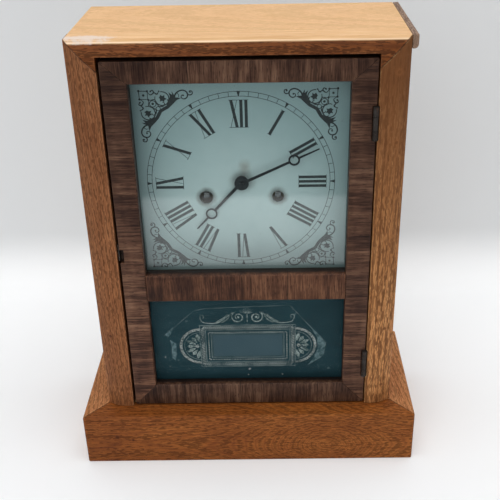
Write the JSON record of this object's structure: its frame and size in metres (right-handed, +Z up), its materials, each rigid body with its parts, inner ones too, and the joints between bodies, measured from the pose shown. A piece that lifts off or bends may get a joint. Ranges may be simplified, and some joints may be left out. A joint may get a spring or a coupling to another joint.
{
  "type": "cottage shelf clock",
  "caption": "Wooden shelf clock with a moulded base, a rounded front frame, a glazed two-light door, a painted dial with hands, and a spring-driven striking movement with pendulum and gong.",
  "frame": {"origin": "centre of the base's underside", "axes": "+Z up, +X to the right seen from the front, the dial faces -Y"},
  "size_m": [0.245, 0.11, 0.3162],
  "materials": {
    "oak": "aged varnish, satin",
    "dark_veneer": "aged shellac, satin",
    "pine": "unfinished, matt",
    "putty": "hardened, matt",
    "dial_paint": "aged paint on sheet, satin",
    "clear_glass": "polished",
    "painted_glass": "polished, painted behind",
    "brass": "tarnished, satin",
    "steel": "aged, satin",
    "black_steel": "blackened, satin",
    "iron": "dark, matt"
  },
  "bodies": {
    "case": {"base_front": "oak", "base_left": "oak", "base_right": "oak", "side_left": "oak", "side_right": "oak", "top_board": "oak", "back_board": "pine", "floor_board": "pine", "cornice_strip": "oak", "frame_left": "oak", "frame_right": "oak", "frame_top": "oak", "hinge_leaf_case_lower": "iron", "hinge_leaf_case_upper": "iron", "latch_pin": "steel", "dial": "dial_paint", "batten_left": "pine", "batten_right": "pine", "front_plate": "brass", "back_plate": "brass", "movement_block_lower": "pine", "movement_block_upper": "pine", "mainspring_time": "steel", "mainspring_strike": "steel", "escape_cock": "brass", "gong_coil": "steel", "gong_base": "iron"},
    "door": {"door_stile_left": "dark_veneer", "door_stile_right": "dark_veneer", "door_rail_top": "dark_veneer", "door_rail_bottom": "dark_veneer", "door_rail_middle": "dark_veneer", "glass_dial": "clear_glass", "putty_dial": "putty", "glass_tablet": "painted_glass", "putty_tablet": "putty", "hinge_leaf_door_lower": "iron", "hinge_leaf_door_upper": "iron", "latch_screw": "steel"},
    "latch": {"latch_hook": "steel"},
    "minute_hand": {"centre_arbor": "steel", "minute_hand": "black_steel"},
    "hour_hand": {"hour_wheel": "brass", "hour_hand": "black_steel"},
    "minute_wheel": {"minute_wheel": "brass"},
    "great_wheel_time": {"great_wheel_time": "brass"},
    "winding_arbor_time": {"winding_arbor_time": "steel"},
    "centre_wheel": {"centre_wheel": "brass"},
    "third_wheel": {"third_wheel": "brass"},
    "escape_wheel": {"escape_wheel": "brass"},
    "verge": {"verge": "steel"},
    "pendulum": {"pendulum_rod": "steel", "pendulum_bob": "brass"},
    "great_wheel_strike": {"great_wheel_strike": "brass"},
    "winding_arbor_strike": {"winding_arbor_strike": "steel"},
    "pin_wheel": {"pin_wheel": "brass"},
    "locking_wheel": {"locking_wheel": "brass"},
    "fly": {"fly": "brass"},
    "count_wheel": {"count_wheel": "brass"},
    "hammer": {"hammer": "iron"}
  },
  "joints": [
    {"name": "door_hinge", "type": "hinge", "parent": "case", "child": "door", "pos_m": [0.0846, -0.0425, 0.1705], "axis": [0, 0, 1], "range_deg": [0, 170]},
    {"name": "latch_turn", "type": "hinge", "parent": "door", "child": "latch", "pos_m": [-0.085, -0.0394, 0.177], "axis": [1, 0, 0], "range_deg": [0, 90]},
    {"name": "minute_hand_turn", "type": "hinge", "parent": "case", "child": "minute_hand", "pos_m": [-0.001, 0, 0.2132], "axis": [0, 1, 0], "continuous": true},
    {"name": "hour_hand_turn", "type": "hinge", "parent": "case", "child": "hour_hand", "pos_m": [-0.001, 0, 0.2132], "axis": [0, 1, 0], "continuous": true},
    {"name": "minute_wheel_turn", "type": "hinge", "parent": "case", "child": "minute_wheel", "pos_m": [0.00525, 0, 0.20237], "axis": [0, 1, 0], "continuous": true},
    {"name": "third_wheel_turn", "type": "hinge", "parent": "case", "child": "third_wheel", "pos_m": [0.00498, 0, 0.23551], "axis": [0, 1, 0], "continuous": true},
    {"name": "centre_wheel_turn", "type": "hinge", "parent": "case", "child": "centre_wheel", "pos_m": [-0.001, 0, 0.2132], "axis": [0, 1, 0], "continuous": true},
    {"name": "great_wheel_time_turn", "type": "hinge", "parent": "case", "child": "great_wheel_time", "pos_m": [0.0236, 0, 0.2017], "axis": [0, 1, 0], "continuous": true},
    {"name": "winding_time", "type": "hinge", "parent": "great_wheel_time", "child": "winding_arbor_time", "pos_m": [0.0236, 0, 0.2017], "axis": [0, 1, 0], "range_deg": [0, 1800]},
    {"name": "escape_wheel_turn", "type": "hinge", "parent": "case", "child": "escape_wheel", "pos_m": [-0.0095, 0, 0.24902], "axis": [0, 1, 0], "continuous": true},
    {"name": "pendulum_swing", "type": "hinge", "parent": "case", "child": "pendulum", "pos_m": [-0.0095, -0.0103, 0.26222], "axis": [0, 1, 0], "range_deg": [-3, 3]},
    {"name": "verge_rock", "type": "hinge", "parent": "case", "child": "verge", "pos_m": [-0.0095, -0.0103, 0.26222], "axis": [0, 1, 0], "range_deg": [-3, 3]},
    {"name": "locking_wheel_turn", "type": "hinge", "parent": "case", "child": "locking_wheel", "pos_m": [-0.03032, 0, 0.25154], "axis": [0, 1, 0], "continuous": true},
    {"name": "pin_wheel_turn", "type": "hinge", "parent": "case", "child": "pin_wheel", "pos_m": [-0.03032, 0, 0.22844], "axis": [0, 1, 0], "continuous": true},
    {"name": "great_wheel_strike_turn", "type": "hinge", "parent": "case", "child": "great_wheel_strike", "pos_m": [-0.0256, 0, 0.2017], "axis": [0, 1, 0], "continuous": true},
    {"name": "winding_strike", "type": "hinge", "parent": "great_wheel_strike", "child": "winding_arbor_strike", "pos_m": [-0.0256, 0, 0.2017], "axis": [0, 1, 0], "range_deg": [-1800, 0]},
    {"name": "fly_turn", "type": "hinge", "parent": "case", "child": "fly", "pos_m": [-0.01992, 0, 0.26194], "axis": [0, 1, 0], "continuous": true},
    {"name": "count_wheel_turn", "type": "hinge", "parent": "case", "child": "count_wheel", "pos_m": [-0.033, 0, 0.2412], "axis": [0, 1, 0], "continuous": true},
    {"name": "hammer_lift", "type": "hinge", "parent": "case", "child": "hammer", "pos_m": [-0.039, 0, 0.1752], "axis": [0, 1, 0], "range_deg": [0, 6], "stiffness_Nm_per_rad": 0.01, "springref_deg": -5.73}
  ],
  "couplings": [
    {"joint": "hour_hand_turn", "follows": "minute_hand_turn", "ratio": 0.083333},
    {"joint": "minute_wheel_turn", "follows": "minute_hand_turn", "ratio": -0.33333},
    {"joint": "centre_wheel_turn", "follows": "third_wheel_turn", "ratio": -0.1},
    {"joint": "great_wheel_time_turn", "follows": "third_wheel_turn", "ratio": 0.016667},
    {"joint": "escape_wheel_turn", "follows": "third_wheel_turn", "ratio": -10},
    {"joint": "verge_rock", "follows": "pendulum_swing", "ratio": 1},
    {"joint": "pin_wheel_turn", "follows": "locking_wheel_turn", "ratio": -0.125},
    {"joint": "great_wheel_strike_turn", "follows": "locking_wheel_turn", "ratio": 0.020833},
    {"joint": "fly_turn", "follows": "locking_wheel_turn", "ratio": -6},
    {"joint": "count_wheel_turn", "follows": "locking_wheel_turn", "ratio": 0.012821}
  ]
}
